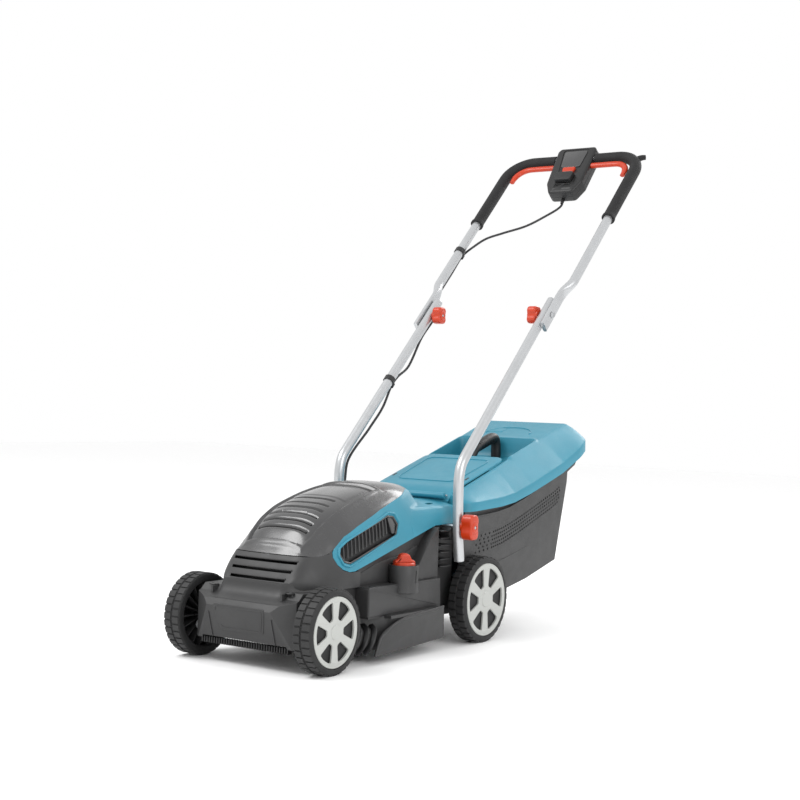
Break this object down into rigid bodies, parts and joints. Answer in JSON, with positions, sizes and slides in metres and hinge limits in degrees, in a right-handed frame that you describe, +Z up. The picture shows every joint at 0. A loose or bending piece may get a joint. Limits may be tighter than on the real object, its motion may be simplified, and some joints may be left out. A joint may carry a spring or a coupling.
{
  "type": "rotary lawn mower",
  "caption": "Corded rotary lawn mower with a rear grass box under a flap, cranked axles that set the cutting height, and a folding tube handle with console and bail.",
  "frame": {"origin": "the ground under the middle of the bounding box", "axes": "-Y is the front of the mower, +Y the operator's end, +X the side with the height knob, +Z up"},
  "size_m": [0.3994, 1.3304, 1.1766],
  "materials": {
    "dark_plastic": "satin moulded, fine grain",
    "hood_plastic": "glossy painted",
    "black_plastic": "matt",
    "turquoise_plastic": "satin",
    "orange_plastic": "satin",
    "cap_plastic": "satin",
    "tyre_plastic": "matt",
    "grip_foam": "soft, matt",
    "tube_metal": "powder-coated silver",
    "steel": "zinc plated",
    "motor_metal": "die cast",
    "lead_rubber": "smooth"
  },
  "bodies": {
    "deck": {"deck_shell": "dark_plastic", "front_cowl": "dark_plastic", "hood_top": "hood_plastic", "hood_grille": "hood_plastic", "body_cover": "turquoise_plastic", "side_vent_left": "black_plastic", "side_vent_right": "black_plastic", "motor_can": "motor_metal", "front_axle_clamp_left": "black_plastic", "front_axle_clamp_right": "black_plastic", "rear_axle_clamp_left": "black_plastic", "rear_axle_clamp_right": "black_plastic", "pivot_bolt_left": "steel", "pivot_bolt_right": "steel", "flap_pin": "steel", "cable_lower": "lead_rubber", "cable_gland": "black_plastic"},
    "blade_set": {"blade": "steel", "blade_bolt": "steel", "blade_hub": "black_plastic", "cooling_fan": "black_plastic", "motor_shaft": "steel"},
    "front_crank": {"front_axle": "steel"},
    "rear_crank": {"rear_axle": "steel"},
    "link": {"link_rod": "steel"},
    "height_wheel": {"height_knob": "orange_plastic"},
    "wheel_fl": {"wheel_front_left": "tyre_plastic", "wheel_cap_front_left": "cap_plastic"},
    "wheel_fr": {"wheel_front_right": "tyre_plastic", "wheel_cap_front_right": "cap_plastic"},
    "wheel_rl": {"wheel_rear_left": "tyre_plastic", "wheel_cap_rear_left": "cap_plastic"},
    "wheel_rr": {"wheel_rear_right": "tyre_plastic", "wheel_cap_rear_right": "cap_plastic"},
    "flap": {"rear_flap": "turquoise_plastic"},
    "grass_box": {"box_body": "dark_plastic", "box_lid": "turquoise_plastic", "box_handle": "black_plastic"},
    "indicator": {"level_indicator": "turquoise_plastic"},
    "lower_handle": {"lower_tube_left": "tube_metal", "lower_tube_right": "tube_metal", "fold_bolt_left": "steel", "fold_bolt_right": "steel", "cable_middle": "lead_rubber", "cable_clip_lower": "black_plastic"},
    "upper_handle": {"upper_tube": "tube_metal", "grip_left": "grip_foam", "grip_right": "grip_foam", "console_top": "black_plastic", "console_base": "black_plastic", "console_panel": "hood_plastic", "mains_inlet": "black_plastic", "cable_upper": "lead_rubber", "cable_clip_upper": "black_plastic"},
    "knob_ll": {"lower_knob_left": "orange_plastic"},
    "knob_lr": {"lower_knob_right": "orange_plastic"},
    "knob_ul": {"upper_knob_left": "orange_plastic"},
    "knob_ur": {"upper_knob_right": "orange_plastic"},
    "button": {"start_button": "orange_plastic"},
    "bail": {"bail_lever": "orange_plastic"}
  },
  "joints": [
    {"name": "blade_spin", "type": "hinge", "parent": "deck", "child": "blade_set", "pos_m": [0, -0.32721, 0.038], "axis": [0, 0, 1], "continuous": true},
    {"name": "height_front", "type": "hinge", "parent": "deck", "child": "front_crank", "pos_m": [0, -0.61784, 0.06479], "axis": [-1, 0, 0], "range_deg": [0, 60]},
    {"name": "height_rear", "type": "hinge", "parent": "deck", "child": "rear_crank", "pos_m": [0, -0.08884, 0.07579], "axis": [-1, 0, 0], "range_deg": [0, 60]},
    {"name": "link_pivot", "type": "hinge", "parent": "front_crank", "child": "link", "pos_m": [0.0985, -0.62566, 0.1091], "axis": [-1, 0, 0], "range_deg": [-60, 0]},
    {"name": "height_turn", "type": "hinge", "parent": "deck", "child": "height_wheel", "pos_m": [0.143, -0.32221, 0.18], "axis": [0, 0, 1], "range_deg": [0, 240]},
    {"name": "roll_front_left", "type": "hinge", "parent": "front_crank", "child": "wheel_fl", "pos_m": [0, -0.58521, 0.08], "axis": [1, 0, 0], "continuous": true},
    {"name": "roll_front_right", "type": "hinge", "parent": "front_crank", "child": "wheel_fr", "pos_m": [0, -0.58521, 0.08], "axis": [1, 0, 0], "continuous": true},
    {"name": "roll_rear_left", "type": "hinge", "parent": "rear_crank", "child": "wheel_rl", "pos_m": [0, -0.05621, 0.091], "axis": [1, 0, 0], "continuous": true},
    {"name": "roll_rear_right", "type": "hinge", "parent": "rear_crank", "child": "wheel_rr", "pos_m": [0, -0.05621, 0.091], "axis": [1, 0, 0], "continuous": true},
    {"name": "flap_hinge", "type": "hinge", "parent": "deck", "child": "flap", "pos_m": [0, -0.10821, 0.308], "axis": [1, 0, 0], "range_deg": [0, 70]},
    {"name": "box_lift_out", "type": "slide", "parent": "deck", "child": "grass_box", "axis": [0, 0.9659, 0.2588], "range_m": [0, 0.4]},
    {"name": "indicator_hinge", "type": "hinge", "parent": "grass_box", "child": "indicator", "pos_m": [-0.04, 0.34679, 0.44547], "axis": [-1, 0, 0], "range_deg": [0, 20]},
    {"name": "lower_fold", "type": "hinge", "parent": "deck", "child": "lower_handle", "pos_m": [0, -0.14521, 0.249], "axis": [-1, 0, 0], "range_deg": [-70, 0]},
    {"name": "upper_fold", "type": "hinge", "parent": "lower_handle", "child": "upper_handle", "pos_m": [0, 0.19279, 0.712], "axis": [1, 0, 0], "range_deg": [0, 160]},
    {"name": "knob_ll_turn", "type": "hinge", "parent": "deck", "child": "knob_ll", "pos_m": [0.1674, -0.14521, 0.249], "axis": [1, 0, 0], "continuous": true},
    {"name": "knob_lr_turn", "type": "hinge", "parent": "deck", "child": "knob_lr", "pos_m": [-0.1674, -0.14521, 0.249], "axis": [-1, 0, 0], "continuous": true},
    {"name": "knob_ul_turn", "type": "hinge", "parent": "lower_handle", "child": "knob_ul", "pos_m": [0.1426, 0.19279, 0.712], "axis": [-1, 0, 0], "continuous": true},
    {"name": "knob_ur_turn", "type": "hinge", "parent": "lower_handle", "child": "knob_ur", "pos_m": [-0.1426, 0.19279, 0.712], "axis": [1, 0, 0], "continuous": true},
    {"name": "button_press", "type": "slide", "parent": "upper_handle", "child": "button", "axis": [0, 0.8039, -0.5948], "range_m": [0, 0.003], "stiffness_N_per_m": 800, "springref_m": -0.001},
    {"name": "bail_pull", "type": "hinge", "parent": "upper_handle", "child": "bail", "pos_m": [0, 0.61988, 1.12212], "axis": [-1, 0, 0], "range_deg": [0, 7], "stiffness_Nm_per_rad": 2, "springref_deg": -5.73}
  ],
  "couplings": [
    {"joint": "height_rear", "follows": "height_front", "ratio": 1},
    {"joint": "link_pivot", "follows": "height_front", "ratio": -1},
    {"joint": "height_turn", "follows": "height_front", "ratio": 4}
  ]
}
